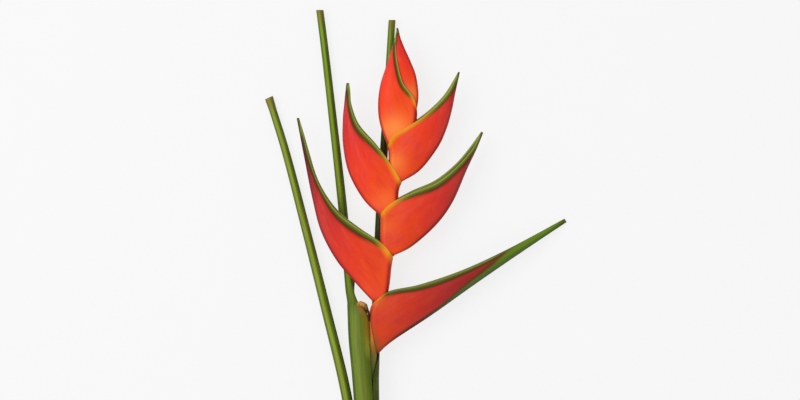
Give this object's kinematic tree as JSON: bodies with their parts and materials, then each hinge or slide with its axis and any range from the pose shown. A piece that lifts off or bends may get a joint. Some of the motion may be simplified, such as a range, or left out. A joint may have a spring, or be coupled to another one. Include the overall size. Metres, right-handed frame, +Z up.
{
  "type": "cut heliconia flower",
  "caption": "Cut lobster-claw flower stem lying on its side: folded red bracts with green margins in two ranks on a zigzag rachis, with trimmed leaf stalks.",
  "frame": {"origin": "below the middle of the flower's box, on the surface that it lies on", "axes": "+Z up, +Y along the stem from its cut end towards the bloom, +X towards the lowest bract's side"},
  "size_m": [0.2418, 0.4648, 0.0298],
  "materials": {
    "bract": "waxy satin",
    "rachis": "waxy satin",
    "leaf_stalk": "satin",
    "bud": "satin"
  },
  "bodies": {
    "root": {"bract_1_right": "bract", "bract_1_right_bud_front": "bud", "bract_1_right_bud_rear": "bud", "bract_2_left": "bract", "bract_2_left_bud_front": "bud", "bract_2_left_bud_rear": "bud", "bract_3_right": "bract", "bract_3_right_bud_front": "bud", "bract_3_right_bud_rear": "bud", "bract_4_left": "bract", "bract_4_left_bud_front": "bud", "bract_4_left_bud_rear": "bud", "bract_5_right": "bract", "bract_5_right_bud_front": "bud", "bract_5_right_bud_rear": "bud", "bract_6_left": "bract", "bract_7_right": "bract", "flower_stalk": "rachis", "leaf_stalk_left": "leaf_stalk", "leaf_stalk_middle": "leaf_stalk", "leaf_stalk_right": "leaf_stalk"}
  },
  "joints": []
}
